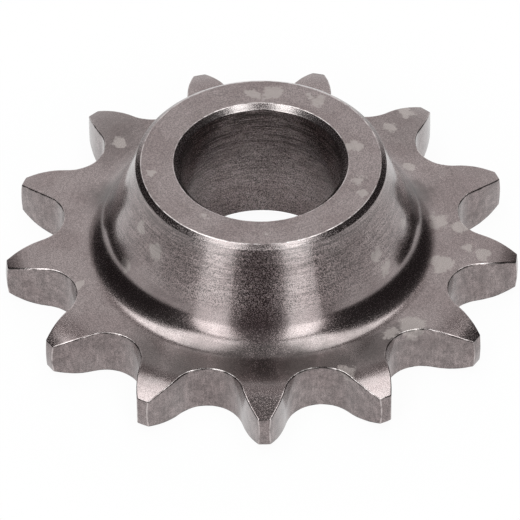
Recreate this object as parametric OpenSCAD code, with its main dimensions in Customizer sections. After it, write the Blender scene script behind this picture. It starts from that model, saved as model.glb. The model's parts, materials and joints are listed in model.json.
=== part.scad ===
// Roller chain sprocket, turned and milled from one piece of bare steel.
// A toothed plate carries a coned hub on one side, and a plain bore runs through both.
// Millimetres. The bore is on Z, the middle of the teeth is at z = 0, and one tooth points along -Y.

/* [Chain] */
// Pitch of the chain, from one roller to the next
chain_pitch = 12.7; // [12:0.05:15]
// Number of teeth
teeth = 13; // [12:1:30]

/* [Tooth form] */
// Radius of the seat that a roller lies in
seat_r = 4.05; // [3.9:0.01:4.25]
// Angle that the arc of the seat covers, in degrees
seat_angle = 124.5; // [115:0.5:135]
// Radius of the bulging flank between the seat and the tip
flank_r = 14; // [10:0.5:25]
// How far the tips stand outside the pitch circle
tip_h = 2.47; // [1.5:0.01:2.6]
// Thickness of a tooth at the edges of its tip
tip_t = 3.8; // [2.5:0.1:5]
// Radius that crowns the land of the tip from edge to edge
tip_crown_r = 12; // [6:0.5:40]
// Radius that thins the teeth on both sides towards the tip
relief_r = 12.7; // [6:0.1:16]

/* [Plate] */
// Thickness of the toothed plate
plate_t = 5.8; // [5.2:0.1:8]

/* [Hub] */
// Height of the hub above the plate
hub_h = 11; // [6:0.5:30]
// Diameter of the cone at its top, below the chamfer
cone_top_d = 28.1; // [24:0.1:31]
// Diameter of the cone where it meets the fillet
cone_base_d = 34.3; // [32:0.1:35]
// Height of that line above the plate
crease_h = 2.4; // [1:0.1:2.6]
// Radius of the fillet between the cone and the plate
fillet_r = 3.7; // [2.7:0.05:4.5]
// Width of the chamfer around the hub's end face
rim_chamfer_w = 0.6; // [0.2:0.05:1.2]
// Height of that chamfer
rim_chamfer_h = 0.45; // [0.2:0.05:1.2]

/* [Bore] */
// Diameter of the bore
bore_d = 18.4; // [10:0.1:20]
// Chamfer that opens the bore in the hub's end face
hub_bore_chamfer = 0.6; // [0.2:0.05:1]
// Chamfer that opens the bore in the back of the plate
back_bore_chamfer = 0.85; // [0.2:0.05:1.2]

/* [Hidden] */
$fn = 200;
steel = [0.50, 0.47, 0.46];
clear = 1; // cutters run this far past what they cut

plate_top = plate_t / 2;
hub_top = plate_top + hub_h;
pitch_r = chain_pitch / sin(180 / teeth) / 2;
tip_r = pitch_r + tip_h;
first_tooth = -90;

// The crown drops this far at the edges of the tip, and the rounded sides of the teeth end there.
tip_edge_r = tip_r - tip_crown_r + sqrt(pow(tip_crown_r, 2) - pow(tip_t / 2, 2));
// A tooth's side leaves the flat face where its arc can fall to the tip's thickness.
relief_depth = (plate_t - tip_t) / 2;
relief_start_r = tip_edge_r - sqrt(pow(relief_r, 2) - pow(relief_r - relief_depth, 2));

// The fillet touches the plate here, and its arc passes through the foot of the cone.
fillet_end_r = cone_base_d / 2 + sqrt(pow(fillet_r, 2) - pow(fillet_r - crease_h, 2));

// The seat's arc ends here, in a frame with the gap along X, and the flank starts on the same normal.
seat_end_dir = [-cos(seat_angle / 2), sin(seat_angle / 2)];
seat_end = [pitch_r, 0] + seat_r * seat_end_dir;
flank_centre = [pitch_r, 0] + (seat_r + flank_r) * seat_end_dir;

function mirrored(p) = [p[0], -p[1]];

// One gap between two teeth: a round seat that opens outwards between two bulging flanks.
module roller_gap() {
    outside = tip_r + clear;
    union() {
        translate([pitch_r, 0]) circle(r = seat_r);
        difference() {
            polygon([
                mirrored(seat_end),
                seat_end,
                [outside, flank_centre[1]],
                [outside, -flank_centre[1]]
            ]);
            translate(flank_centre) circle(r = flank_r);
            translate(mirrored(flank_centre)) circle(r = flank_r);
        }
    }
}

// Half the section of the plate: flat faces that round off towards the crowned tips.
module plate_section() {
    flat = [relief_start_r, plate_t];
    intersection() {
        translate([0, -plate_top]) square([tip_r, plate_t]);
        union() {
            translate([0, -plate_top]) square(flat);
            translate([tip_r - tip_crown_r, 0]) circle(r = tip_crown_r);
        }
        intersection_for (side = [-1, 1])
            union() {
                translate([0, -plate_top]) square(flat);
                translate([relief_start_r, side * (plate_top - relief_r)]) circle(r = relief_r);
            }
    }
}

// Half the section of the hub: a cone under a chamfer, with a hollow fillet at its foot.
module hub_section() {
    crease_z = plate_top + crease_h;
    cone_top_r = cone_top_d / 2;
    difference() {
        polygon([
            [0, 0],
            [fillet_end_r, 0],
            [fillet_end_r, plate_top],
            [cone_base_d / 2, crease_z],
            [cone_top_r, hub_top - rim_chamfer_h],
            [cone_top_r - rim_chamfer_w, hub_top],
            [0, hub_top]
        ]);
        translate([fillet_end_r, plate_top + fillet_r]) circle(r = fillet_r);
    }
}

// The bore and the chamfers that open it at both ends.
module bore_section() {
    bore_r = bore_d / 2;
    polygon([
        [0, -plate_top - clear],
        [bore_r + back_bore_chamfer + clear, -plate_top - clear],
        [bore_r, -plate_top + back_bore_chamfer],
        [bore_r, hub_top - hub_bore_chamfer],
        [bore_r + hub_bore_chamfer + clear, hub_top + clear],
        [0, hub_top + clear]
    ]);
}

module sprocket() {
    color(steel)
        difference() {
            rotate_extrude() {
                plate_section();
                hub_section();
            }
            rotate_extrude() bore_section();
            for (i = [0 : teeth - 1])
                rotate([0, 0, first_tooth + (i + 0.5) * 360 / teeth])
                    translate([0, 0, -plate_top - clear])
                        linear_extrude(height = plate_t + 2 * clear) roller_gap();
        }
}

sprocket();
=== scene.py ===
# %% [markdown]
# # A chain sprocket in bare steel
#
# This lesson dresses one machined part for a photograph. The part is a chain sprocket: a flat
# toothed plate and a coned hub, turned and milled from one piece of steel, with a plain bore.
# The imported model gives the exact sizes. Here the same form gets what a lathe and a cutter
# leave behind: broken edges, a grain, fine rings, and the pale spots of an old oil film.
#
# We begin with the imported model. It stays where it is and is our ruler for everything else.

import json
import math

import bpy
import numpy as np
from mathutils import Matrix, Vector


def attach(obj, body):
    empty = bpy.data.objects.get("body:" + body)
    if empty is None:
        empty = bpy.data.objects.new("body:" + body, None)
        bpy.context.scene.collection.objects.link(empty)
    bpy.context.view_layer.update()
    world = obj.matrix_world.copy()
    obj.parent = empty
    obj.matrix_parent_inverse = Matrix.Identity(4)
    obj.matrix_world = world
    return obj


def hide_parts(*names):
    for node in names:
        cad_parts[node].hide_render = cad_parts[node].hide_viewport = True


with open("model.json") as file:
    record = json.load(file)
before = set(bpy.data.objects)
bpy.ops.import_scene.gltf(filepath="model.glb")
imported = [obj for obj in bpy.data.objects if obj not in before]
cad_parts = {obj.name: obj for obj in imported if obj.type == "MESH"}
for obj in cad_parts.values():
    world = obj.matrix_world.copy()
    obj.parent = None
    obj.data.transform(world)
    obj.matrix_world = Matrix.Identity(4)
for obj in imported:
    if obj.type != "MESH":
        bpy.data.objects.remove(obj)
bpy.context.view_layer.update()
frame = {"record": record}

# %% [markdown]
# ## Sizes
#
# A sprocket is drawn from its chain. The pitch of the chain and the number of teeth give the
# pitch circle, on which the middles of the rollers lie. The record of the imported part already
# holds the bore, the two faces and the number of teeth, so those are read and not typed again.
# The other sizes are the ones that a drawing of the part would show, in metres.

# %% Sizes from the record and the drawing
MM = 0.001
mounts = {mount["name"]: mount for mount in frame["record"]["mounts"]}

teeth = mounts["chain_teeth"]["dims"]["count"]
bore_r = mounts["bore"]["dims"]["r_mm"] * MM
hub_top = mounts["hub_face"]["pos_m"][2]
plate_top = -mounts["back_face"]["pos_m"][2]

chain_pitch = 12.7 * MM
pitch_r = chain_pitch / math.sin(math.pi / teeth) / 2
seat_r = 4.05 * MM
seat_half_angle = math.radians(124.5) / 2
flank_r = 14 * MM
tip_r = pitch_r + 2.47 * MM
tip_t = 3.8 * MM
tip_crown_r = 12 * MM
relief_r = 12.7 * MM

cone_top_r = 14.05 * MM
cone_base_r = 17.15 * MM
crease_z = plate_top + 2.4 * MM
fillet_r = 3.7 * MM
rim_chamfer_w = 0.6 * MM
rim_chamfer_h = 0.45 * MM
hub_bore_chamfer = 0.6 * MM
back_bore_chamfer = 0.85 * MM
print(f"{teeth} teeth, pitch circle {2000 * pitch_r:.2f} mm, tips {2000 * tip_r:.2f} mm")

# %% [markdown]
# ## The camera
#
# The photograph was taken with a long lens, well above the part, so its circles are nearly
# true ellipses. The camera looks at the middle of the teeth from 43 degrees up, and one tooth
# points almost straight at it. A long lens far away is set here as a distance and a focal
# length. The small shift and roll put the part in the frame where the photograph has it.

# %% Place the camera
CAMERA_ELEVATION = math.radians(43.32)
CAMERA_TURN = math.radians(-0.29)
CAMERA_ROLL = math.radians(-0.49)
CAMERA_DISTANCE = 0.7615
FOCAL_PIXELS = 6738.6
IMAGE_PIXELS = 520
AIM_PIXEL = (261.68, 252.77)
SENSOR_WIDTH = 36.0

aim = Vector((0, 0, -0.09 * MM))
camera_data = bpy.data.cameras.new("camera")
camera_data.sensor_width = SENSOR_WIDTH
camera_data.lens = FOCAL_PIXELS * SENSOR_WIDTH / IMAGE_PIXELS
camera_data.shift_x = (IMAGE_PIXELS / 2 - AIM_PIXEL[0]) / IMAGE_PIXELS
camera_data.shift_y = (AIM_PIXEL[1] - IMAGE_PIXELS / 2) / IMAGE_PIXELS
camera_data.clip_start = 0.01
camera_data.clip_end = 20
camera = bpy.data.objects.new("camera", camera_data)
bpy.context.scene.collection.objects.link(camera)

standing = Matrix.Rotation(CAMERA_TURN, 4, "Z") @ Matrix.Rotation(math.pi / 2 - CAMERA_ELEVATION, 4, "X")
camera.matrix_world = (
    Matrix.Translation(aim)
    @ standing
    @ Matrix.Translation((0, 0, CAMERA_DISTANCE))
    @ Matrix.Rotation(CAMERA_ROLL, 4, "Z")
)
bpy.context.scene.camera = camera
print(f"lens {camera_data.lens:.1f} mm at {CAMERA_DISTANCE} m")

# %% [markdown]
# ## The outline of one tooth
#
# Seen from above, a gap between two teeth is a round seat for the roller that opens between
# two bulging flanks, and each tooth ends in a short land. All of these are arcs, so the outline
# needs only three circles. A cutter leaves the corner between flank and land sharp, and a
# quick pass with a file or a tumbling drum breaks it, so a fourth, small arc rounds it off.
#
# The land is crowned, so its radius falls towards the two faces of the plate. The function
# below therefore takes the radius of the land for each point. It works in a frame where the
# gap points along X, and then turns the result so that the tooth does.

# %% The outline as four arcs
CORNER_R = 0.22 * MM
half_pitch = math.pi / teeth
seat_end_dir = np.array([-math.cos(seat_half_angle), math.sin(seat_half_angle)])
flank_centre = np.array([pitch_r, 0]) + (seat_r + flank_r) * seat_end_dir
STEPS = {"land": 5, "corner": 4, "flank": 7, "seat": 10}


def arc(centre, radius, start, end, share):
    """Points and outward directions on an arc, at a share of the way from start to end."""
    angle = start + (end - start) * share
    direction = np.stack([np.cos(angle), np.sin(angle)], -1)
    return centre + radius * direction, direction


def corner_arc(land_r):
    """The small circle that touches the flank and the land from inside: its centre and its two ends."""
    reach = np.hypot(*flank_centre)
    to_flank = flank_r - CORNER_R
    to_axis = land_r - CORNER_R
    along = (to_axis**2 - to_flank**2 + reach**2) / (2 * reach)
    aside = np.sqrt(to_axis**2 - along**2)
    axis = flank_centre / reach
    centre = along[..., None] * axis + aside[..., None] * np.array([axis[1], -axis[0]])
    at_land = np.arctan2(centre[..., 1], centre[..., 0])
    from_flank = centre - flank_centre
    at_flank = np.arctan2(from_flank[..., 1], from_flank[..., 0])
    return centre, at_land, at_flank


def half_tooth(land_r):
    """Half an outline, from the land's middle to the seat's bottom, for each column's land radius."""
    centre, at_land, at_flank = corner_arc(land_r)
    seat_start = math.pi - seat_half_angle
    parts = []
    first = 0
    for name, steps in STEPS.items():
        share = np.arange(steps + (name == "seat")) / steps
        column = slice(first, first + len(share))
        first += len(share)
        if name == "land":
            part = arc(0, land_r[column, None], half_pitch, at_land[column], share)
        elif name == "corner":
            part = arc(centre[column], CORNER_R, at_land[column], at_flank[column], share)
        elif name == "flank":
            part = arc(flank_centre, flank_r, at_flank[column], seat_start - math.pi, share)
        else:
            points, direction = arc(np.array([pitch_r, 0]), seat_r, seat_start, math.pi, share)
            part = points, -direction
        parts.append(part)
    points = np.concatenate([points for points, _ in parts])
    outward = np.concatenate([direction for _, direction in parts])
    cos_turn, sin_turn = math.cos(half_pitch), math.sin(half_pitch)
    turn = np.array([[cos_turn, sin_turn], [-sin_turn, cos_turn]])
    return points @ turn.T, outward @ turn.T


columns = sum(STEPS.values()) + 1
probe, _ = half_tooth(np.full(columns, tip_r))
land_mm, seat_mm = (1000 * np.hypot(*probe[end]) for end in (0, -1))
print(f"{columns} points in half a tooth, from R {land_mm:.2f} to {seat_mm:.2f} mm")

# %% [markdown]
# ## The section of the plate
#
# Cut along a radius, the plate has two flat faces. Near the tips both faces fall away in a
# large arc, so that the tooth finds its way between the plates of the chain. The land at the
# tip is crowned. Both are turned before the teeth are cut, so both depend on the radius alone.
# That lets one function give the height of the face for any point of any tooth.

# %% Height of the face and radius of the land
relief_depth = plate_top - tip_t / 2


def land_radius(z):
    """Radius of the crowned land at a height."""
    return tip_r - tip_crown_r + np.sqrt(tip_crown_r**2 - np.square(z))


relief_start_r = float(land_radius(tip_t / 2)) - math.sqrt(relief_r**2 - (relief_r - relief_depth) ** 2)


def relief_slope(r):
    """Sine of the angle at which the face falls outwards at a radius."""
    return np.clip(r - relief_start_r, 0, None) / relief_r


def face_height(r):
    """Height of the plate's upper face at a radius."""
    return plate_top - relief_r + relief_r * np.sqrt(1 - relief_slope(r) ** 2)


print(f"relief starts at R {1000 * relief_start_r:.2f} mm, {1000 * relief_depth:.2f} mm deep at a tip")

# %% [markdown]
# ## Edges that catch the light
#
# No real edge is sharp. A broken edge is a small round strip, and on bare steel it is what
# draws the thin bright and dark lines around every gap. A bevel modifier could make it, but
# here both neighbouring surfaces are known exactly. So we roll a small ball into the edge: its
# centre lies one radius below both surfaces, and the strip is its skin between the two normals.
# A close row of points on either side keeps the flat faces from shading like pillows.

# %% Roll a ball along the edges of the teeth
EDGE_R = 0.13 * MM
EDGE_ARC = 4
KEEP_FLAT = 0.07 * MM
SETTLE_PASSES = 5


def unit(v):
    """Vectors of length one."""
    return v / np.linalg.norm(v, axis=-1, keepdims=True)


def rolled_edge(edge, normal_a, normal_b, radius):
    """Rows of points and a 0 to 1 share on a rounded edge between two surfaces with these normals."""
    cos_turn = np.sum(normal_a * normal_b, -1, keepdims=True)
    turn = np.arccos(cos_turn)
    centre = edge - radius * (normal_a + normal_b) / (1 + cos_turn)
    rows = []
    for share in np.arange(EDGE_ARC + 1) / EDGE_ARC:
        normal = np.sin((1 - share) * turn) * normal_a + np.sin(share * turn) * normal_b
        rows.append(centre + radius * normal / np.sin(turn))
    return rows


def tooth_edge():
    """The sharp upper edge of half a tooth, with the normals of the face and the wall there."""
    z = np.full(columns, tip_t / 2)
    for _ in range(SETTLE_PASSES):
        plan, outward = half_tooth(land_radius(z))
        r = np.hypot(plan[:, 0], plan[:, 1])
        z = face_height(r)
    slope = relief_slope(r)
    face_normal = np.column_stack([plan * (slope / r)[:, None], np.sqrt(1 - slope**2)])
    step = 0.01 * MM
    above, below = (half_tooth(land_radius(z + dz))[0] for dz in (step, -step))
    lean = -np.sum((above - below) * outward, -1) / (2 * step)
    wall_normal = unit(np.column_stack([outward, lean]))
    return np.column_stack([plan, z]), outward, face_normal, wall_normal


edge, outward, face_normal, wall_normal = tooth_edge()
edge_rows = rolled_edge(edge, face_normal, wall_normal, EDGE_R)
print(f"tooth edge from z {1000 * edge[0, 2]:.2f} mm at the tip to {1000 * edge[-1, 2]:.2f} mm at the seat")

# %% [markdown]
# ## Rows of half a tooth
#
# The surface is now laid out as a grid. Each column runs from the hub's foot out to one point
# of the outline, over the edge, down the wall and back underneath. The lower half is the
# mirror of the upper one, apart from its face, which starts further in because no hub stands
# on it. So all rows are worked out above, and the lower ones are turned over.

# %% Rows across the plate, over the edge and down the wall
FACE_ROWS = 13
BACK_ROWS = 17
WALL_ROWS = 8
BACK_RING = 0.35 * MM
fillet_end_r = cone_base_r + math.sqrt(fillet_r**2 - (fillet_r - (crease_z - plate_top)) ** 2)
back_ring_r = bore_r + back_bore_chamfer + BACK_RING
column_angle = -half_pitch * np.arange(columns) / (columns - 1)
spokes = np.column_stack([np.cos(column_angle), np.sin(column_angle)])


def face_rows(inner_r, rows):
    """Rows of the upper face, from a circle of this radius to just inside the rolled edge."""
    start = edge_rows[0][:, :2] - KEEP_FLAT * outward
    made = []
    for share in np.arange(rows + 1) / rows:
        plan = (1 - share) * inner_r * spokes + share * start
        made.append(np.column_stack([plan, face_height(np.hypot(plan[:, 0], plan[:, 1]))]))
    return made


def wall_rows():
    """Rows down the wall, from just below the upper edge to just above the lower one."""
    top = edge_rows[-1][:, 2] - KEEP_FLAT
    made = []
    for share in np.arange(WALL_ROWS + 1) / WALL_ROWS:
        z = top * (1 - 2 * share)
        made.append(np.column_stack([half_tooth(land_radius(z))[0], z]))
    return made


def underneath(rows):
    """The same rows mirrored to the lower side, in the order that goes on downwards and back in."""
    return [row * (1, 1, -1) for row in reversed(rows)]


upper_face = face_rows(fillet_end_r, FACE_ROWS)
lower_face = face_rows(back_ring_r, BACK_ROWS)
tooth_rows = upper_face + edge_rows + wall_rows() + underneath(edge_rows) + underneath(lower_face)
print(f"{len(tooth_rows)} rows over half a tooth")

# %% [markdown]
# ## The turned rows
#
# The rest of the part came off a lathe: the back chamfer, the bore, the face of the hub, the
# cone and the hollow fillet that runs out into the plate. A turned form is one section, so we
# write it as corners with a radius each, and round the corners with short arcs.

# %% The section of the hub and bore
TURNED_STEP = 2 * MM
FILLET_STEPS = 18


def rounded_section(corners):
    """Points (r, z) along a path of corners (r, z, radius), each rounded by a short arc."""
    made = []
    for before, corner, after in zip(corners, corners[1:], corners[2:]):
        here = np.array(corner[:2])
        back = unit(np.array(before[:2]) - here)
        on = unit(np.array(after[:2]) - here)
        half_turn = (math.pi - math.acos(back @ on)) / 2
        tangent = corner[2] * math.tan(half_turn)
        middle = here + unit(back + on) * corner[2] / math.cos(half_turn)
        arc_points = []
        for share in np.arange(EDGE_ARC + 1) / EDGE_ARC:
            chord = here + tangent * ((1 - share) * back + share * on)
            arc_points.append(middle + corner[2] * unit(chord - middle))
        keep = min(KEEP_FLAT, 0.3 * corner[2])
        made.append([here + (tangent + keep) * back, *arc_points, here + (tangent + keep) * on])
    path = []
    for stretch in made:
        if path:
            gap = stretch[0] - path[-1]
            steps = max(1, round(float(np.linalg.norm(gap)) / TURNED_STEP))
            path += [path[-1] + gap * k / steps for k in range(1, steps)]
        path += stretch
    return path


hub_corners = [
    (back_ring_r, -plate_top, 0),
    (bore_r + back_bore_chamfer, -plate_top, 0.1 * MM),
    (bore_r, -plate_top + back_bore_chamfer, 0.12 * MM),
    (bore_r, hub_top - hub_bore_chamfer, 0.12 * MM),
    (bore_r + hub_bore_chamfer, hub_top, 0.2 * MM),
    (cone_top_r - rim_chamfer_w, hub_top, 0.3 * MM),
    (cone_top_r, hub_top - rim_chamfer_h, 0.12 * MM),
    (cone_base_r, crease_z, 1 * MM),
]
fillet_centre = np.array([fillet_end_r, plate_top + fillet_r])
fillet_start = math.atan2(crease_z - fillet_centre[1], cone_base_r - fillet_centre[0]) % (2 * math.pi)
fillet_angles = np.linspace(fillet_start, 1.5 * math.pi, FILLET_STEPS + 1)
fillet = [fillet_centre + fillet_r * np.array([math.cos(a), math.sin(a)]) for a in fillet_angles]
section = rounded_section([*hub_corners, tuple(fillet[1])]) + fillet[1:-1]
turned_rows = [np.column_stack([r * spokes, np.full(columns, z)]) for r, z in section]
print(f"{len(turned_rows)} turned rows")

# %% [markdown]
# ## Marks on the points
#
# The finish isn't the same all over. The walls were milled, the hub's face was faced off and
# left matt, the bore is coarse, and the edges carry a bright line, partly rubbed wear and partly
# painted highlight, with a line of painted shade below it. The material could find these places
# again by their radius and height, but the grid already knows them. A row of points is one line
# all along the part, such as a ring in the bore or the middle of a broken edge, and a column is
# one place on the outline. So each row or column gets a value from 0 to 1 for every mark. The
# material reads it as an attribute of the mesh.

# %% What each row of points carries
BRIGHT_ACROSS_EDGE = (0.2, 1, 0.8, 0.1, 0)
DARK_ACROSS_EDGE = (0, 0, 0.3, 1, 1)
MILLED_ACROSS_EDGE = (0, 0, 0, 0.5, 1)
FACE_RINGS = 0.08


def per_row(face=0.0, edge=(0,) * (EDGE_ARC + 1), wall=0.0, turned=None):
    """One value for each row: over the face, the edge and the wall and back, then the turned rows."""
    edge = list(edge)
    upper = [face] * len(upper_face) + edge + [wall] * (WALL_ROWS + 1)
    lower = edge[::-1] + [face] * len(lower_face)
    hub = [turned(r, z) if turned else 0.0 for r, z in section]
    return np.array(upper + lower + hub)[:, None]


def per_column(values):
    """One value for each column, the same on both halves of the tooth."""
    return np.array([*reversed(values), *values[1:]])[None]


# %% Where the turned rows differ
RINGS_AT_BORE_FOOT = 0.1
RINGS_AT_CONE_TOP = 0.5
RIM_TORN = 0.35
NEAR = 0.1 * MM
RIM_DROP = 0.05 * MM
ON_SURFACE = 0.02 * MM
ABOVE_CREASE = 0.3 * MM


def ring_depth(r, z):
    """How deep the tool marks are on the turned rows: deep in the top of the bore, fine elsewhere."""
    up = min(max(z / hub_top, 0), 1)
    if r < bore_r + NEAR:
        return RINGS_AT_BORE_FOOT + (1 - RINGS_AT_BORE_FOOT) * up**1.5
    on_cone = r > cone_top_r - NEAR and z > crease_z
    return FACE_RINGS + RINGS_AT_CONE_TOP * on_cone * up**4


def torn_chamfer(r, z):
    """The chamfer of the bore, which a blunt tool has torn, and less so the one around the hub's face."""
    if z < hub_top - hub_bore_chamfer:
        return 0.0
    if r > cone_top_r - rim_chamfer_w:
        return RIM_TORN
    return float(bore_r < r < bore_r + hub_bore_chamfer)


def rim_line(r, z):
    """The two edges of the hub's end face, with a bright line that is partly rubbed wear and partly painted
    highlight.
    """
    from_bore = abs(r - bore_r - hub_bore_chamfer)
    from_rim = abs(r - cone_top_r + rim_chamfer_w)
    at_edge = min(from_bore, from_rim) < KEEP_FLAT
    return float(at_edge and z > hub_top - RIM_DROP)


def faced(r, z):
    """The flat face of the hub, which was faced off and left matt."""
    between = bore_r + hub_bore_chamfer < r < cone_top_r - rim_chamfer_w
    return float(z > hub_top - ON_SURFACE and between)


def bored(r, z):
    """The wall of the bore, which is coarser than the outside."""
    return float(r < bore_r + ON_SURFACE)


def grainy(r, z):
    """The bore and the cone, where the grain is coarser than on the other faces."""
    on_cone = r > cone_top_r - NEAR and z > crease_z + ABOVE_CREASE
    return float(on_cone or bored(r, z))


# %% All marks
rolled = [math.sin(math.pi * step / EDGE_ARC) for step in range(EDGE_ARC + 1)]
before_corner = STEPS["land"]
after_corner = columns - before_corner - len(rolled)
marks = {
    "broken_edge": per_row(edge=rolled),
    # bright_line and tip_corner: a line that is partly rubbed wear and partly painted highlight.
    "bright_line": per_row(edge=BRIGHT_ACROSS_EDGE, turned=rim_line),
    # dark_line: painted shade below the broken edges.
    "dark_line": per_row(edge=DARK_ACROSS_EDGE),
    "milled": per_row(edge=MILLED_ACROSS_EDGE, wall=1.0),
    "tip_corner": per_column([0.0] * before_corner + rolled + [0.0] * after_corner),
    "turned": per_row(face=FACE_RINGS, turned=ring_depth),
    "torn": per_row(turned=torn_chamfer),
    "faced": per_row(turned=faced),
    "bored": per_row(turned=bored),
    "grainy": per_row(turned=grainy),
}
print("marks on the points:", ", ".join(marks))

# %% [markdown]
# ## The slice as a mesh
#
# The rows are now joined by faces of four corners. The last turned row meets the first row of
# the plate, so the slice closes like a ring with a thick section. Only its two cut sides stay
# open, and the neighbours will close those. Faces made from a grid are all turned the same way
# round, here outwards, so nothing has to be flipped later.

# %% The slice as a mesh
def full_slice(half_rows):
    """Both halves of every row, from one gap's middle to the next."""
    half = np.array(half_rows)
    return np.concatenate([half[:, ::-1], half[:, 1:] * (1, -1, 1)], axis=1)


def grid_mesh(name, grid, values_by_mark):
    """A mesh of quads over a grid of rows that closes on itself, with the marks on its points."""
    rows, across = grid.shape[:2]
    index = np.arange(rows * across).reshape(rows, across)
    below = np.roll(index, -1, axis=0)
    quads = np.stack([index[:, :-1], below[:, :-1], below[:, 1:], index[:, 1:]], -1).reshape(-1, 4)
    mesh = bpy.data.meshes.new(name)
    mesh.from_pydata(grid.reshape(-1, 3).tolist(), [], quads.tolist())
    for mark, values in values_by_mark.items():
        layer = mesh.attributes.new(mark, "FLOAT", "POINT")
        spread = np.broadcast_to(values, (rows, across)).astype(np.float32)
        layer.data.foreach_set("value", spread.ravel())
    return mesh


slice_mesh = grid_mesh("tooth_slice", full_slice(tooth_rows + turned_rows), marks)
print(f"slice: {len(slice_mesh.vertices)} points, {len(slice_mesh.polygons)} faces")

# %% [markdown]
# ## One tooth becomes thirteen
#
# The grid so far is one thirteenth of the part: a tooth, with its slice of hub and bore. On
# the real part an indexing head turns the blank by the same angle after each cut. Geometry
# Nodes can do just that. The tree below places a copy of the slice for each tooth, turns each
# copy on, and welds the seams, so that one closed surface is left.
#
# The tree also roughens the broken edges a little. A deburring drum doesn't take the same
# amount off everywhere, and a perfectly even edge looks like plastic. The noise moves only the
# points that carry the edge mark, and by less than the edge itself is deep.

# %% Small helpers for node trees
def add_node(tree, kind, settings=None, **values):
    """A node with settings, and with values or links for inputs named in lower case."""
    node = tree.nodes.new(kind)
    for setting, value in (settings or {}).items():
        setattr(node, setting, value)
    for name, value in values.items():
        set_input(tree, node, name, value)
    return node


def set_input(tree, node, name, value):
    """Gives an input, named in lower case or by number, a value or a link."""
    if name.startswith("in_"):
        socket = node.inputs[int(name[3:])]
    else:
        wanted = name.replace("_", " ")
        socket = next(s for s in node.inputs if s.name.lower() == wanted and s.enabled)
    if isinstance(value, bpy.types.NodeSocket):
        tree.links.new(value, socket)
    else:
        socket.default_value = value


def out(node, name=None):
    """A node's output by name, or its first one that is in use."""
    if name:
        return next(s for s in node.outputs if s.name == name and s.enabled)
    return next(s for s in node.outputs if s.enabled)


def math_node(tree, operation, a, b=0.0):
    """One step of arithmetic."""
    node = add_node(tree, "ShaderNodeMath", {"operation": operation}, in_0=a, in_1=b)
    return node.outputs[0]


# %% The tree that turns and welds the slices
def add_sockets(tree, direction, sockets):
    """Named sockets on a tree, each a name, a kind and a value at rest."""
    for name, kind, value in sockets:
        socket = tree.interface.new_socket(name=name, in_out=direction, socket_type=kind)
        if value is not None:
            socket.default_value = value


index_tree = bpy.data.node_groups.new("index_and_weld", "GeometryNodeTree")
add_sockets(index_tree, "INPUT", [
    ("One Tooth", "NodeSocketGeometry", None),
    ("Teeth", "NodeSocketInt", 13),
    ("First Tooth", "NodeSocketFloat", 0.0),
    ("Weld Distance", "NodeSocketFloat", 0.00001),
    ("Wear Depth", "NodeSocketFloat", 0.0),
    ("Wear Length", "NodeSocketFloat", 0.001),
    ("Seed", "NodeSocketFloat", 0.0),
    ("Finish", "NodeSocketMaterial", None),
])
add_sockets(index_tree, "OUTPUT", [("Sprocket", "NodeSocketGeometry", None)])

given = index_tree.nodes.new("NodeGroupInput")
angle_step = math_node(index_tree, "DIVIDE", 2 * math.pi, given.outputs["Teeth"])
angle = math_node(index_tree, "MULTIPLY", out(add_node(index_tree, "GeometryNodeInputIndex")), angle_step)
angle = math_node(index_tree, "ADD", angle, given.outputs["First Tooth"])
turn = add_node(index_tree, "ShaderNodeCombineXYZ", z=angle)
turn = add_node(index_tree, "FunctionNodeEulerToRotation", euler=out(turn))
places = add_node(index_tree, "GeometryNodePoints", count=given.outputs["Teeth"])
copies = add_node(
    index_tree, "GeometryNodeInstanceOnPoints",
    points=out(places), instance=given.outputs["One Tooth"], rotation=out(turn),
)
realized = add_node(index_tree, "GeometryNodeRealizeInstances", geometry=out(copies))
welded = add_node(
    index_tree, "GeometryNodeMergeByDistance",
    geometry=out(realized), distance=given.outputs["Weld Distance"],
)
print(f"{len(index_tree.nodes)} nodes turn and weld the slices")

# %% The part of the tree that wears the edges
on_edge = add_node(index_tree, "GeometryNodeInputNamedAttribute", {"data_type": "FLOAT"}, name="broken_edge")
wear_scale = math_node(index_tree, "DIVIDE", 1.0, given.outputs["Wear Length"])
wear = add_node(
    index_tree, "ShaderNodeTexNoise", {"noise_dimensions": "4D"},
    w=given.outputs["Seed"], scale=wear_scale, detail=2.0,
)
depth = math_node(index_tree, "SUBTRACT", out(wear), 0.5)
depth = math_node(index_tree, "MULTIPLY", depth, given.outputs["Wear Depth"])
depth = math_node(index_tree, "MULTIPLY", depth, out(on_edge, "Attribute"))
outward_by = add_node(
    index_tree, "ShaderNodeVectorMath", {"operation": "SCALE"},
    vector=out(add_node(index_tree, "GeometryNodeInputNormal")), scale=depth,
)
worn = add_node(index_tree, "GeometryNodeSetPosition", geometry=out(welded), offset=out(outward_by))
smooth = add_node(index_tree, "GeometryNodeSetShadeSmooth", in_0=out(worn))
finished = add_node(
    index_tree, "GeometryNodeSetMaterial",
    geometry=out(smooth), material=given.outputs["Finish"],
)
result = index_tree.nodes.new("NodeGroupOutput")
index_tree.links.new(out(finished), result.inputs["Sprocket"])
print(f"{len(index_tree.nodes)} nodes in all")
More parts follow.
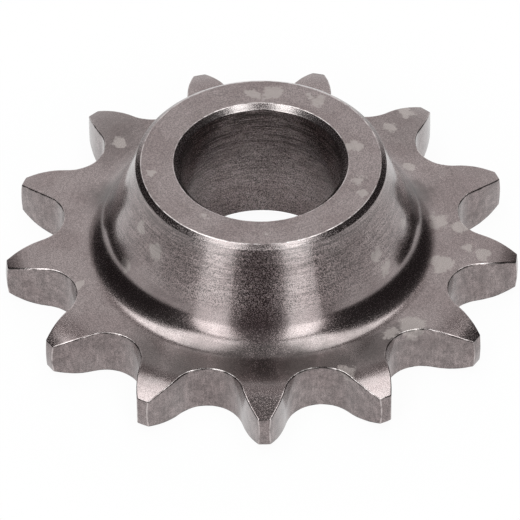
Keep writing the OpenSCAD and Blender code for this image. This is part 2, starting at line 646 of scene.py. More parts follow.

# %% [markdown]
# ## What the steel's surface is made of
#
# Bare steel has little colour of its own. Here it reflects a quarter to a third of the light, a
# touch more red than blue, and most of its look comes from how the skin scatters what it
# mirrors.
# Four effects make this skin, in three shader groups that can go on any material.
#
# **Grain.** The bar was pickled or blasted before it was turned and again after hardening, so
# the skin sparkles in cells of one or two tenths of a millimetre. Noise gives the cells, once
# as a speckle of lighter and darker points and once as a height for the bump. A cell pattern
# adds the wider pits of the coarse places.
#
# **Turning rings.** Each turn of the lathe leaves a groove at one radius and one height. Noise
# read at (radius, height) instead of (x, y, z) is the same all the way round, which is a ring.
# The direction from the axis goes in too, but slowly, so that a ring fades in and out.
#
# ** Oil spots.** A film of protective oil dried in drops. Each is a disc with a ragged border,
# at a given place, and a cloudy noise shades the film between them.
#
# ** Painted shade.** Wide, soft dark discs on the plate are painted shade: at the front they stand
# in for the dark reflection of the hub, and beside and behind the hub for shade. They run into
# one another, in the same group as the spots.
#
# All of them read the place on the part in millimetres.

# %% Helpers for shader groups
def new_group(name, inputs, outputs):
    """A shader group with named sockets, and the sockets at its two ends."""
    group = bpy.data.node_groups.new(name, "ShaderNodeTree")
    add_sockets(group, "INPUT", inputs)
    add_sockets(group, "OUTPUT", outputs)
    return group, group.nodes.new("NodeGroupInput").outputs, group.nodes.new("NodeGroupOutput").inputs


def vector_math(tree, operation, a, b=None, scale=None):
    """One step of arithmetic on a vector."""
    node = add_node(tree, "ShaderNodeVectorMath", {"operation": operation}, in_0=a)
    if b is not None:
        set_input(tree, node, "in_1", b)
    if scale is not None:
        set_input(tree, node, "scale", scale)
    return out(node)


def ramp(tree, value, low, high, to_low=0.0, to_high=1.0):
    """A smooth step from one value to another as the input goes from low to high."""
    node = add_node(
        tree, "ShaderNodeMapRange", {"interpolation_type": "SMOOTHSTEP"},
        value=value, from_min=low, from_max=high, to_min=to_low, to_max=to_high,
    )
    return out(node)


def noise(tree, place, size, detail=2.0, roughness=0.5):
    """Noise with blobs of about this size."""
    node = add_node(
        tree, "ShaderNodeTexNoise", {"noise_dimensions": "3D"},
        vector=place, scale=1 / size, detail=detail, roughness=roughness,
    )
    return node


# %% The grain
grain_group, given, made = new_group(
    "steel_grain",
    [("Place", "NodeSocketVector", None), ("Grain Size", "NodeSocketFloat", 0.2)],
    [
        ("Speckle", "NodeSocketFloat", None),
        ("Height", "NodeSocketFloat", None),
        ("Pits", "NodeSocketFloat", None),
    ],
)
SPECKLE_RANGE = (0.36, 0.64)
PIT_SCALE = 0.55
PIT_RANGE = (0.0, 0.45)
cell_scale = math_node(grain_group, "DIVIDE", 1.0, given["Grain Size"])
cells = vector_math(grain_group, "SCALE", given["Place"], scale=cell_scale)
fine = out(noise(grain_group, cells, 1.0, detail=2.0, roughness=0.65))
grain_group.links.new(ramp(grain_group, fine, *SPECKLE_RANGE), made["Speckle"])
grain_group.links.new(fine, made["Height"])
pits = add_node(grain_group, "ShaderNodeTexVoronoi", vector=cells, scale=PIT_SCALE)
grain_group.links.new(ramp(grain_group, out(pits), *PIT_RANGE), made["Pits"])
print(f"{grain_group.name}: {len(grain_group.nodes)} nodes")

# %% The turning rings
rings_group, given, made = new_group(
    "turning_rings",
    [
        ("Place", "NodeSocketVector", None),
        ("Ring Width", "NodeSocketFloat", 0.3),
        ("Fade Around", "NodeSocketFloat", 1.0),
    ],
    [("Rings", "NodeSocketFloat", None)],
)
flat_place = vector_math(rings_group, "MULTIPLY", given["Place"], (1, 1, 0))
from_axis = add_node(rings_group, "ShaderNodeVectorMath", {"operation": "LENGTH"}, in_0=flat_place)
radius_mm = from_axis.outputs["Value"]
around = vector_math(
    rings_group, "SCALE", vector_math(rings_group, "NORMALIZE", flat_place), scale=given["Fade Around"]
)
around = add_node(rings_group, "ShaderNodeSeparateXYZ", in_0=around)
height_mm = add_node(rings_group, "ShaderNodeSeparateXYZ", in_0=given["Place"]).outputs["Z"]
ring_place = add_node(
    rings_group, "ShaderNodeCombineXYZ",
    x=math_node(rings_group, "DIVIDE", radius_mm, given["Ring Width"]),
    y=math_node(rings_group, "DIVIDE", height_mm, given["Ring Width"]),
    z=around.outputs["X"],
)
ring_noise = add_node(
    rings_group, "ShaderNodeTexNoise", {"noise_dimensions": "4D"},
    vector=out(ring_place), w=around.outputs["Y"], scale=1.0, detail=3.0, roughness=0.6,
)
RING_RANGE = (0.3, 0.7)
rings_group.links.new(ramp(rings_group, out(ring_noise), *RING_RANGE), made["Rings"])
print(f"{rings_group.name}: {len(rings_group.nodes)} nodes")

# %% Where the drops dried and where the shade is painted, in millimetres
ON_HUB, ON_PLATE = 13.9, 2.9
OIL_SPOTS = [
    (1.6, 11.7, ON_HUB, 1.0), (-0.7, 11.3, ON_HUB, 0.8), (0.9, 10.9, ON_HUB, 0.8), (6.5, 9.9, ON_HUB, 0.9),
    (5.5, 11.0, ON_HUB, 0.5), (10.4, 2.5, ON_HUB, 0.9), (10.8, -3.3, ON_HUB, 0.8), (11.2, -5.4, ON_HUB, 0.7),
    (-12.3, -1.6, ON_HUB, 0.6), (0.7, -11.6, ON_HUB, 0.4), (-6.2, -8.9, ON_HUB, 0.4),
    (15.0, 17.5, ON_PLATE, 0.9), (17.0, 20.4, ON_PLATE, 1.0), (16.9, 10.7, ON_PLATE, 0.8),
    (19.8, 1.5, ON_PLATE, 1.2), (22.4, 0.6, ON_PLATE, 0.9), (23.0, -2.7, ON_PLATE, 0.7),
    (24.8, -3.7, ON_PLATE, 1.0), (20.2, -5.4, ON_PLATE, 1.4), (16.5, -15.2, ON_PLATE, 1.5),
    (9.0, -22.6, ON_PLATE, 1.0), (14.1, -16.4, ON_PLATE, 1.0), (-20.5, -8.0, ON_PLATE, 0.8),
    (-16.0, 15.5, ON_PLATE, 0.9),
    (15.9, -3.5, 7.6, 0.8), (13.6, -9.6, 6.5, 0.9), (12.8, -9.8, 8.4, 0.8),
    (-13.5, -7.0, 10.4, 0.8), (-11.8, -9.9, 9.8, 1.0), (-15.2, -7.7, 5.6, 0.9),
]
# Painted shade patches on the plate: x, y and radius in millimetres, and a strength.
DARK_FILM = [
    (0.5, -21.6, 3.0, 0.6), (4.2, -21.2, 3.4, 0.95), (7.8, -20.9, 3.6, 0.85), (11.6, -18.8, 3.8, 0.75),
    (15.0, -17.6, 3.4, 0.8), (-4.0, -21.3, 3.4, 0.85), (-8.0, -20.8, 3.8, 0.8), (-13.0, -19.6, 4.2, 0.6),
    (-17.0, 17.0, 6.0, 0.4), (17.0, 17.5, 5.0, 0.25), (-17.3, 6.2, 2.6, 0.7), (17.3, 6.0, 2.6, 0.7),
]
# The patches counted here are painted shade.
print(f"{len(OIL_SPOTS)} spots and {len(DARK_FILM)} patches of film")

# %% The oil spots and the painted shade
RAGGED_SIZE = 1.1
RAGGED_SHIFT = 2.4
SPOT_BORDER = (0.8, 1.15)
FILM_BORDER = (0.2, 1.4)
CLOUD_SIZE = 5.0
CLOUD_RANGE = (0.38, 0.6)


def distance_from(tree, place, point):
    """How far a place is from a point."""
    node = add_node(tree, "ShaderNodeVectorMath", {"operation": "DISTANCE"}, in_0=place, in_1=point)
    return node.outputs["Value"]


def disc(tree, away, radius, border, inside, outside):
    """A soft disc: one value inside, another outside, with a border in shares of the radius."""
    return ramp(tree, away, border[0] * radius, border[1] * radius, inside, outside)


spots_group, given, made = new_group(
    "oil_spots",
    [("Place", "NodeSocketVector", None), ("Ragged", "NodeSocketFloat", 1.0)],
    [
        ("Spots", "NodeSocketFloat", None),
        ("Film", "NodeSocketFloat", None),
        ("Clouds", "NodeSocketFloat", None),
    ],
)
ragged = noise(spots_group, given["Place"], RAGGED_SIZE, detail=3.0, roughness=0.6)
ragged = vector_math(spots_group, "SUBTRACT", ragged.outputs["Color"], (0.5, 0.5, 0.5))
shift = math_node(spots_group, "MULTIPLY", given["Ragged"], RAGGED_SHIFT)
ragged = vector_math(spots_group, "SCALE", ragged, scale=shift)
drop_place = vector_math(spots_group, "ADD", given["Place"], ragged)
spots = 0.0
for x_mm, y_mm, z_mm, spot_r in OIL_SPOTS:
    away = distance_from(spots_group, drop_place, (x_mm, y_mm, z_mm))
    spot = disc(spots_group, away, spot_r, SPOT_BORDER, 1.0, 0.0)
    spots = math_node(spots_group, "MAXIMUM", spots, spot)
spots_group.links.new(spots, made["Spots"])
clear = 1.0
# Painted shade: soft dark discs on the plate stand in for the hub's dark reflection.
for x_mm, y_mm, film_r, strength in DARK_FILM:
    away = distance_from(spots_group, drop_place, (x_mm, y_mm, ON_PLATE))
    left = disc(spots_group, away, film_r, FILM_BORDER, 1 - strength, 1.0)
    clear = math_node(spots_group, "MINIMUM", clear, left)
spots_group.links.new(math_node(spots_group, "SUBTRACT", 1.0, clear), made["Film"])
clouds = out(noise(spots_group, given["Place"], CLOUD_SIZE, detail=4.0, roughness=0.6))
spots_group.links.new(ramp(spots_group, clouds, *CLOUD_RANGE), made["Clouds"])
print(f"{spots_group.name}: {len(spots_group.nodes)} nodes")

# %% [markdown]
# ## The steel material
#
# Now the groups come together. The part is one piece of steel, so it gets one material, and
# the marks that the points carry say where each effect is strong. Separate materials for the
# bore, the walls and the hub would need a hard border between them, and real finishes run into
# one another.

# %% Read the marks and the groups
GRAIN_SIZE = 0.11
RING_WIDTH = 0.27
DASH_WIDTH = 0.16
RING_FADE, DASH_FADE = 1.5, 9.0
STREAK_SIZE = 0.25
STREAK_STRETCH = (1, 1, 0.12)
PATCH_SIZE = 0.9

steel = bpy.data.materials.new("steel")
steel.use_nodes = True
steel_tree = steel.node_tree
surface = steel_tree.nodes["Principled BSDF"]
surface.inputs["Metallic"].default_value = 1.0

object_place = steel_tree.nodes.new("ShaderNodeTexCoord").outputs["Object"]
place_mm = vector_math(steel_tree, "SCALE", object_place, scale=1 / MM)


def placed(group, **values):
    """A group in the steel's tree, which reads the place on the part."""
    return add_node(steel_tree, "ShaderNodeGroup", {"node_tree": group}, place=place_mm, **values)


grain = placed(grain_group, grain_size=GRAIN_SIZE)
rings = placed(rings_group, ring_width=RING_WIDTH, fade_around=RING_FADE)
dashes = placed(rings_group, ring_width=DASH_WIDTH, fade_around=DASH_FADE)
drops = placed(spots_group, ragged=1.0)
mark = {}
for name in marks:
    reader = add_node(steel_tree, "ShaderNodeAttribute", {"attribute_name": name})
    mark[name] = reader.outputs["Fac"]
streak_place = vector_math(steel_tree, "MULTIPLY", place_mm, STREAK_STRETCH)
streaks = out(noise(steel_tree, streak_place, STREAK_SIZE, detail=3.0, roughness=0.6))
patches = out(noise(steel_tree, place_mm, PATCH_SIZE, detail=3.0, roughness=0.6))
print("the steel reads", len(mark), "marks")


# %% [markdown]
# ### Colour of the bare steel
#
# A blotchy noise moves the colour between a brownish and a greyish steel, and the speckle makes
# it lighter and darker point by point. In the bore and on the cone the specks are drawn out
# round the axis, because the lathe smeared them. A noise could be stretched along one axis for
# that, but a fine set of rings follows the cone and the bore alike, so a share of it is mixed
# into the speckle there.

# %% Helpers that mix, multiply, add and subtract
def mix(tree, share, a, b):
    """A colour between two others."""
    return out(add_node(tree, "ShaderNodeMix", {"data_type": "RGBA"}, factor=share, a=a, b=b))


def times(tree, *factors):
    """A product of two or more values."""
    product = factors[0]
    for factor in factors[1:]:
        product = math_node(tree, "MULTIPLY", product, factor)
    return product


def plus(tree, a, b):
    """A sum of two values."""
    return math_node(tree, "ADD", a, b)


def less(tree, a, b):
    """What is left of a value after another is taken off."""
    return math_node(tree, "SUBTRACT", a, b)


# %% Colour of the bare steel
BROWNISH = (0.262, 0.213, 0.21, 1)
GREYISH = (0.308, 0.258, 0.254, 1)
OILED = (0.47, 0.42, 0.40, 1)
# Used for torn steel and for edge lines of rubbed wear and painted highlight.
RUBBED = (0.62, 0.56, 0.55, 1)
# Used for dirt in the lathe's grooves and for painted shade below the edges.
DIRT = (0.03, 0.025, 0.022, 1)
# Colour of the painted shade on the plate.
FILM = (0.06, 0.05, 0.047, 1)

SPECKLE_TONES = (0.67, 1.26)
PIT_TONES = (2.2, 0.2)
PIT_SHARE = 0.5
SPECKLE_SHARE, DASH_SHARE = 0.65, 0.35
GRAINY_RANGE = (0.15, 0.85)
GRAINY_TONES = (-0.4, 0.4)
FACED_LIFT = 0.02

colour = mix(steel_tree, drops.outputs["Clouds"], BROWNISH, GREYISH)
speckled = ramp(steel_tree, grain.outputs["Speckle"], 0, 1, *SPECKLE_TONES)
coarse = ramp(steel_tree, grain.outputs["Pits"], 0, 1, *PIT_TONES)
speckled = plus(steel_tree, speckled, times(steel_tree, mark["bored"], coarse, PIT_SHARE))
fine_part = times(steel_tree, grain.outputs["Speckle"], SPECKLE_SHARE)
long_part = times(steel_tree, dashes.outputs["Rings"], DASH_SHARE)
drawn_out = plus(steel_tree, fine_part, long_part)
on_grainy = ramp(steel_tree, drawn_out, *GRAINY_RANGE, *GRAINY_TONES)
speckled = plus(steel_tree, speckled, times(steel_tree, mark["grainy"], on_grainy))
speckled = plus(steel_tree, speckled, times(steel_tree, mark["faced"], FACED_LIFT))
colour = vector_math(steel_tree, "SCALE", colour, scale=speckled)

# %% [markdown]
# ### Painted shade, spots and rings
#
# Each of these is laid over the colour as a share of another one. The painted shade lies on
# the faces only, not on the upright walls. Dried drops are paler than the steel. Dirt settles in
# the grooves of the lathe, so the rings are thin dark lines, deepest in the bore.

# %% Painted shade, spots and turning rings
SPOT_SHARE = 0.7
DASH_DIRT = 0.6
RING_DIRT = 0.85
RING_SHADE = (0.15, 0.55)

on_face = less(steel_tree, 1.0, mark["milled"])
# Painted shade on the faces, from the dark patches.
colour = mix(steel_tree, times(steel_tree, drops.outputs["Film"], on_face), colour, FILM)
colour = mix(steel_tree, times(steel_tree, drops.outputs["Spots"], SPOT_SHARE), colour, OILED)
dash_shade = ramp(steel_tree, dashes.outputs["Rings"], 0.0, 1.0, 1.0, 0.0)
dash_dirt = times(steel_tree, dash_shade, mark["turned"], DASH_DIRT)
colour = mix(steel_tree, dash_dirt, colour, DIRT)
ring_shade = ramp(steel_tree, rings.outputs["Rings"], *RING_SHADE, 1.0, 0.0)
ring_dirt = times(steel_tree, ring_shade, mark["turned"], RING_DIRT)
colour = mix(steel_tree, ring_dirt, colour, DIRT)

# %% [markdown]
# ### Milled walls
#
# The cutter that made the gaps left fine upright streaks. A noise stretched along the axis of
# the part gives them, and a second one makes some stretches of wall darker than others. Both
# only take light away, by a share that the mark of the walls sets.

# %% Milled walls
STREAK_RANGE, STREAK_TONES = (0.3, 0.7), (0.78, 1.0)
PATCH_RANGE, PATCH_TONES = (0.35, 0.65), (0.74, 1.04)

streaked = ramp(steel_tree, streaks, *STREAK_RANGE, *STREAK_TONES)
patched = ramp(steel_tree, patches, *PATCH_RANGE, *PATCH_TONES)
walls = times(steel_tree, streaked, patched)
darker = times(steel_tree, mark["milled"], less(steel_tree, 1.0, walls))
colour = vector_math(steel_tree, "SCALE", colour, scale=less(steel_tree, 1.0, darker))

# %% [markdown]
# ### Edges
#
# A blunt tool tore the chamfer of the bore, and torn steel glitters. The broken edges carry a
# bright line in stretches, partly rubbed wear and partly painted highlight, and a line of painted
# shade just below it. The same noise breaks up both lines: where it is high the edge is bright,
# and where it is low the painted shade is dark. The upright corners of the tips get the same
# bright line, partly rubbed wear and partly painted highlight.

# %% Torn chamfers, edge lines of wear and painted highlight, and painted shade
TORN_SHARE = 0.5
RUBBED_RANGE = (0.38, 0.6)
CORNER_RANGE, CORNER_SHARES = (0.35, 0.6), (0.2, 0.8)
DIRTY_RANGE = (0.62, 0.4)

colour = mix(steel_tree, times(steel_tree, mark["torn"], TORN_SHARE), colour, RUBBED)
# Painted highlight along the broken edges and the hub's rims, partly rubbed wear.
rubbed = times(steel_tree, mark["bright_line"], ramp(steel_tree, patches, *RUBBED_RANGE))
colour = mix(steel_tree, rubbed, colour, RUBBED)
# Painted highlight on the upright corners of the tips, partly rubbed wear.
uneven = ramp(steel_tree, patches, *CORNER_RANGE, *CORNER_SHARES)
corner_line = times(steel_tree, mark["tip_corner"], mark["milled"], uneven)
colour = mix(steel_tree, corner_line, colour, RUBBED)
# Painted shade: a dark line just below the broken edges.
dirty = times(steel_tree, mark["dark_line"], ramp(steel_tree, patches, *DIRTY_RANGE))
colour = mix(steel_tree, dirty, colour, DIRT)
steel_tree.links.new(colour, surface.inputs["Base Color"])
print(f"{len(steel_tree.nodes)} nodes for the colour")

# %% [markdown]
# ### Roughness and oil
#
# How sharp the mirrored room looks depends on the roughness. It starts at that of the smoothest
# places, such as the fillet, and every other finish adds its own amount. The oil that is left
# on the outside shows as a thin, smoother gleam over the matt steel. The shader's coat does
# that, and only the dry bore goes without it.

# %% Roughness of the steel and the oil on it
SMOOTH = 0.19
GRAIN_ROUGHER = 0.12
GRAIN_ROUGH_RANGE = (0.6, 1.2)
CONE_ROUGHER = 0.2
SPOT_ROUGHER = 0.03
TORN_ROUGHER = 0.03
MILLED_ROUGHER = 0.05
FACED_ROUGHER = 0.17
OIL_COAT = 0.5
OIL_ROUGHNESS = 0.12

rough_grain = ramp(steel_tree, grain.outputs["Speckle"], *GRAIN_ROUGH_RANGE)
roughness = plus(steel_tree, times(steel_tree, rough_grain, GRAIN_ROUGHER), SMOOTH)
on_cone = times(steel_tree, rough_grain, less(steel_tree, mark["grainy"], mark["bored"]))
for effect, rougher in (
    (on_cone, CONE_ROUGHER),
    (drops.outputs["Spots"], SPOT_ROUGHER),
    (mark["torn"], TORN_ROUGHER),
    (mark["milled"], MILLED_ROUGHER),
    (mark["faced"], FACED_ROUGHER),
):
    roughness = plus(steel_tree, roughness, times(steel_tree, effect, rougher))
steel_tree.links.new(roughness, surface.inputs["Roughness"])

oil_film = ramp(steel_tree, mark["bored"], 0.0, 1.0, OIL_COAT, 0.0)
steel_tree.links.new(oil_film, surface.inputs["Coat Weight"])
surface.inputs["Coat Roughness"].default_value = OIL_ROUGHNESS
print(f"roughness from {SMOOTH}, coat {OIL_COAT}")

# %% [markdown]
# ### Bump
#
# The skin is too fine to be modelled, so it is a bump. Heights are summed in millimetres and go
# into one Bump node whose distance is one millimetre, so each depth below is a real one, from
# the grain's thousandths to the hundredths of the rings and streaks.

# %% Bump of the steel
GRAIN_DEPTH = 0.0015
PIT_DEPTH = 0.0015
COARSE_DEPTH = 0.0045
RING_DEPTH = 0.012
STREAK_DEPTH = 0.012
TORN_DEPTH = 0.01

grain_depth = plus(steel_tree, times(steel_tree, mark["torn"], TORN_DEPTH), GRAIN_DEPTH)
depths = times(steel_tree, grain.outputs["Height"], grain_depth)
pit_depth = plus(steel_tree, times(steel_tree, mark["grainy"], COARSE_DEPTH), PIT_DEPTH)
depths = plus(steel_tree, depths, times(steel_tree, grain.outputs["Pits"], pit_depth))
for effect, place_mark, depth in (
    (rings.outputs["Rings"], mark["turned"], RING_DEPTH),
    (streaks, mark["milled"], STREAK_DEPTH),
):
    depths = plus(steel_tree, depths, times(steel_tree, effect, place_mark, depth))
bump = add_node(steel_tree, "ShaderNodeBump", distance=MM, height=depths)
steel_tree.links.new(out(bump), surface.inputs["Normal"])
print(f"{steel.name}: {len(steel_tree.nodes)} nodes")

# %% [markdown]
# ## The finished piece
#
# The slice goes into the tree with its sizes, and what comes out becomes a plain mesh that
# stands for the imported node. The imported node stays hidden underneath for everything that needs
# exact collision. A modifier's input is set by its identifier, because two inputs could have
# the same name.

# %% Run the tree and keep its mesh
slice_mesh.materials.append(steel)
blank = bpy.data.objects.new("blank", slice_mesh)
bpy.context.scene.collection.objects.link(blank)
indexing = blank.modifiers.new("index_and_weld", "NODES")
indexing.node_group = index_tree
given_values = {
    "Teeth": teeth,
    "First Tooth": -math.pi / 2,
    "Weld Distance": 0.01 * MM,
    "Wear Depth": 0.08 * MM,
    "Wear Length": 1.2 * MM,
    "Seed": 3.0,
    "Finish": steel,
}
for item in index_tree.interface.items_tree:
    if item.in_out == "INPUT" and item.name in given_values:
        indexing[item.identifier] = given_values[item.name]

finished_blank = blank.evaluated_get(bpy.context.evaluated_depsgraph_get())
sprocket = bpy.data.objects.new("sprocket_steel", bpy.data.meshes.new_from_object(finished_blank))
bpy.context.scene.collection.objects.link(sprocket)
bpy.data.objects.remove(blank)
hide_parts("sprocket")
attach(sprocket, "root")
triangles = sum(len(face.vertices) - 2 for face in sprocket.data.polygons)
print(f"{sprocket.name}: {triangles} triangles")

# %% [markdown]
# ## The studio
#
# Steel has hardly a look of its own: it shows the room. The photograph's bright and dark bands
# tell what stood around the part. Two tall boxes of light stood in front, left and right of the
# camera, and two more hung overhead. Dark cards closed the sides, the front behind the camera
# and the space above, and the back was open to a white wall.
#
# The lamps here are given by the brightness that a mirror would show, where 1 is white. The
# lower part of each front box is a lamp of its own and weaker, as the table hid some of it.

# %% Lamps
LAMP_COLOUR = (0.96, 1.0, 1.0)


def softbox(name, corner, along, across, brightness):
    """A flat box of light on two edges from a corner, which shines away from their cross product."""
    along, across = Vector(along), Vector(across)
    lamp = bpy.data.lights.new(name, "AREA")
    lamp.shape = "RECTANGLE"
    lamp.size, lamp.size_y = along.length, across.length
    lamp.color = LAMP_COLOUR
    lamp.energy = brightness * math.pi * along.length * across.length
    box = bpy.data.objects.new(name, lamp)
    x, y = along.normalized(), across.normalized()
    box.matrix_world = Matrix.Translation(Vector(corner) + along / 2 + across / 2) @ Matrix(
        (x, y, x.cross(y))
    ).transposed().to_4x4()
    box.visible_camera = False
    bpy.context.scene.collection.objects.link(box)


STRIP = 3.7
STRIP_IN_TABLE = 2.0
OVERHEAD = 3.3
softbox("front_left", (-0.6, -0.6, 0.15), (0.365, 0, 0), (0, 0, 0.77), STRIP)
softbox("front_right", (0.175, -0.6, 0.15), (0.3, 0, 0), (0, 0, 0.75), STRIP)
softbox("front_left_low", (-0.6, -0.6, -0.28), (0.365, 0, 0), (0, 0, 0.43), STRIP_IN_TABLE)
softbox("front_right_low", (0.175, -0.6, -0.28), (0.3, 0, 0), (0, 0, 0.43), STRIP_IN_TABLE)
softbox("over_left", (-0.37, -0.32, 0.6), (0.255, -0.018, 0), (0.046, 0.65, 0), OVERHEAD)
softbox("over_right", (0.105, -0.34, 0.6), (0.205, 0.014, 0), (-0.044, 0.65, 0), OVERHEAD)
print(f"{len(bpy.data.lights)} boxes of light")

# %% [markdown]
# ## Cards
#
# A card is seen by nothing but the part's reflections: it is hidden from the camera and casts
# no shadow. The side cards and the top card each end in a half-grey strip, so that the dark
# bands in the fillet fade into the bright ones and don't stop at a line.

# %% Cards
CARD_COLOUR = (0.036, 0.032, 0.033, 1)
TOP_COLOUR = (0.06, 0.054, 0.054, 1)
END_COLOUR = (0.4, 0.38, 0.38, 1)
FRONT_COLOUR = (0.09, 0.072, 0.076, 1)
SIDE, FRONT, FOOT, TOP = 0.75, -0.7, -0.4, 1.7
SIDE_MID, SIDE_BACK, TOP_MID, TOP_BACK = 0.95, 1.25, 0.85, 1.42


def card(name, corners, colour=CARD_COLOUR):
    """A flat card of one plain colour that only the part's reflections see."""
    mesh = bpy.data.meshes.new(name)
    mesh.from_pydata(corners, [], [tuple(range(len(corners)))])
    material = bpy.data.materials.new(name)
    material.use_nodes = True
    tree = material.node_tree
    tree.nodes.clear()
    glow = add_node(tree, "ShaderNodeEmission", color=colour)
    end = tree.nodes.new("ShaderNodeOutputMaterial")
    tree.links.new(out(glow), end.inputs["Surface"])
    mesh.materials.append(material)
    made = bpy.data.objects.new(name, mesh)
    made.visible_camera = False
    made.visible_shadow = False
    bpy.context.scene.collection.objects.link(made)


def standing_card(name, start, end, colour=CARD_COLOUR):
    """A card that stands on the line between two places in plan."""
    card(name, [(*start, FOOT), (*end, FOOT), (*end, TOP), (*start, TOP)], colour)


def lying_card(name, front, back, colour):
    """A card overhead, as wide as the room."""
    card(name, [(-SIDE, front, TOP), (SIDE, front, TOP), (SIDE, back, TOP), (-SIDE, back, TOP)], colour)


for name, side in (("left", -SIDE), ("right", SIDE)):
    standing_card(f"card_{name}", (side, FRONT), (side, SIDE_MID))
    standing_card(f"card_{name}_end", (side, SIDE_MID), (side, SIDE_BACK), END_COLOUR)
standing_card("card_front", (-SIDE, FRONT), (SIDE, FRONT), FRONT_COLOUR)
lying_card("card_top", FRONT, TOP_MID, TOP_COLOUR)
lying_card("card_top_end", TOP_MID, TOP_BACK, END_COLOUR)
print("cards up to", TOP, "m")

# %% [markdown]
# ## The floor
#
# The part lies on pure white in the photograph. A floor that is lit to that level would wash
# the steel out, so this one glows white only for the rays that show the background, and is
# plain paint for all others. The paint keeps the part's shadow.
#
# The steel mirrors what lies under it, so the floor changes with the distance from the axis.
# Under the bore the paint is painted shade: nearly black in the two corners at the back and a
# little grey in front, where a touch of painted glow lights the top of the bore's far wall. Under
# the plate the floor is clear, so that the underside can be seen, and beyond the plate the glow
# comes in. Far out paint and glow fall off again for mirrored rays, a painted shade, and the
# walls of the teeth don't turn pale. In front of the part the floor is cut away between two
# slanting edges, and the low lamps reach the teeth through that gap.

# %% The shape of the floor
FLOOR_CORNERS = [(-0.5, -0.54), (-0.045, -0.048), (0.045, -0.048), (0.47, -0.54), (0.5, 0.9), (-0.5, 0.9)]

floor_mesh = bpy.data.meshes.new("floor")
floor_points = [(x, y, -plate_top) for x, y in FLOOR_CORNERS]
floor_mesh.from_pydata(floor_points, [], [tuple(range(len(floor_points)))])
floor = bpy.data.objects.new("floor", floor_mesh)
bpy.context.scene.collection.objects.link(floor)
print(f"floor at z {-1000 * plate_top:.1f} mm")


# %% Where the floor is open, clear or white
def seen_directly(tree, mirrored_share):
    """1 for rays from the camera, and this share for rays from metal or glass."""
    path = tree.nodes.new("ShaderNodeLightPath")
    mirrored = math_node(tree, "MAXIMUM", path.outputs["Is Glossy Ray"], path.outputs["Is Transmission Ray"])
    mirrored = times(tree, mirrored, mirrored_share)
    return math_node(tree, "MAXIMUM", path.outputs["Is Camera Ray"], mirrored)


floor_material = bpy.data.materials.new("floor")
floor_material.use_nodes = True
floor_tree = floor_material.node_tree
floor_tree.nodes.clear()

OPEN_FROM, OPEN_BY = 19 * MM, 22.5 * MM
FAR_FROM, FAR_BY, FAR_SHARE = 45 * MM, 110 * MM, 0.4
CLEAR_FROM, CLEAR_BY = 10.3 * MM, 22 * MM
WHITE_FROM, WHITE_BY, WHITE_SHARE = 32 * MM, 47 * MM, 0.95
floor_place = floor_tree.nodes.new("ShaderNodeTexCoord").outputs["Object"]
floor_xyz = add_node(floor_tree, "ShaderNodeSeparateXYZ", in_0=floor_place)
from_axis = add_node(floor_tree, "ShaderNodeVectorMath", {"operation": "LENGTH"}, in_0=floor_place)
from_axis = from_axis.outputs["Value"]
open_floor = ramp(floor_tree, from_axis, OPEN_FROM, OPEN_BY)
# Painted shade: the floor falls darker far out for mirrored rays.
far_floor = ramp(floor_tree, from_axis, FAR_FROM, FAR_BY, 1.0, FAR_SHARE)
white_share = ramp(floor_tree, from_axis, WHITE_FROM, WHITE_BY, WHITE_SHARE, 1.0)
past_bore = math_node(floor_tree, "GREATER_THAN", from_axis, CLEAR_FROM)
inside_gaps = math_node(floor_tree, "LESS_THAN", from_axis, CLEAR_BY)
under_plate = times(floor_tree, past_bore, inside_gaps)
print(f"floor clear from R {1000 * CLEAR_FROM:.1f} to {1000 * CLEAR_BY:.1f} mm")

# %% The floor under the bore
CORNER_GREY, PLAIN_GREY, FRONT_GREY = 0.1, 0.95, 0.68
FRONT_GLOW = 0.3
ASIDE_FROM, ASIDE_BY = 0.4 * bore_r, 0.9 * bore_r
BEHIND_FROM, BEHIND_BY = -0.1 * bore_r, 0.6 * bore_r
GLOW_FROM, GLOW_BY = -0.9 * bore_r, -0.2 * bore_r
PAINT_END, GLOW_END = 1.3 * bore_r, 1.1 * bore_r

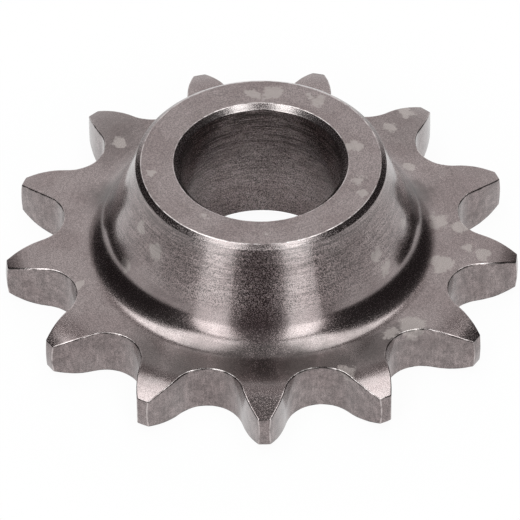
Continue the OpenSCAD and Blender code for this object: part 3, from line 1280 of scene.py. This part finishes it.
# Painted shade under the bore, darkest in the back corners; bore_front is a painted glow that lights the
# bore's far wall.
off_middle = math_node(floor_tree, "ABSOLUTE", floor_xyz.outputs["X"])
aside = ramp(floor_tree, off_middle, ASIDE_FROM, ASIDE_BY)
behind = ramp(floor_tree, floor_xyz.outputs["Y"], BEHIND_FROM, BEHIND_BY)
in_corner = times(floor_tree, aside, behind)
off_front = plus(floor_tree, aside, behind)
in_bore = times(
    floor_tree,
    ramp(floor_tree, in_corner, 0.0, 1.0, PLAIN_GREY, CORNER_GREY),
    ramp(floor_tree, off_front, 0.0, 0.6, FRONT_GREY, 1.0),
    ramp(floor_tree, from_axis, bore_r, PAINT_END, 1.0, 0.0),
)
bore_front = times(
    floor_tree,
    ramp(floor_tree, floor_xyz.outputs["Y"], GLOW_FROM, GLOW_BY, FRONT_GLOW, 0.0),
    ramp(floor_tree, from_axis, bore_r, GLOW_END, 1.0, 0.0),
)
print(f"paint under the bore from {CORNER_GREY} to {PLAIN_GREY}")

# %% Paint, glow and the hidden side
PAINT_GREY = 0.9

open_share = times(floor_tree, open_floor, far_floor)
paint_grey = math_node(floor_tree, "MAXIMUM", in_bore, times(floor_tree, open_share, PAINT_GREY))
paint = add_node(floor_tree, "ShaderNodeBsdfDiffuse", color=paint_grey)
glow = add_node(floor_tree, "ShaderNodeEmission", color=(1, 1, 1, 1))
mirrored_share = plus(floor_tree, open_share, bore_front)
share = times(floor_tree, seen_directly(floor_tree, mirrored_share), white_share)
mixed = add_node(floor_tree, "ShaderNodeMixShader", in_0=share, in_1=out(paint), in_2=out(glow))
hidden = floor_tree.nodes.new("ShaderNodeBsdfTransparent")
below = floor_tree.nodes.new("ShaderNodeNewGeometry").outputs["Backfacing"]
below = math_node(floor_tree, "MAXIMUM", below, under_plate)
one_sided = add_node(floor_tree, "ShaderNodeMixShader", in_0=below, in_1=out(mixed), in_2=out(hidden))
floor_end = floor_tree.nodes.new("ShaderNodeOutputMaterial")
floor_tree.links.new(out(one_sided), floor_end.inputs["Surface"])
floor_mesh.materials.append(floor_material)
print(f"{floor_material.name}: {len(floor_tree.nodes)} nodes")

# %% The white wall behind and above
world = bpy.data.worlds.new("studio")
bpy.context.scene.world = world
world.use_nodes = True
world.node_tree.nodes["Background"].inputs["Color"].default_value = (1, 1, 1, 1)
print(f"world: {world.name}")

# %% [markdown]
# ## Colour management
#
# The plain view transform shows each colour as it was written.

# %% Colour management
bpy.context.scene.view_settings.view_transform = "Standard"
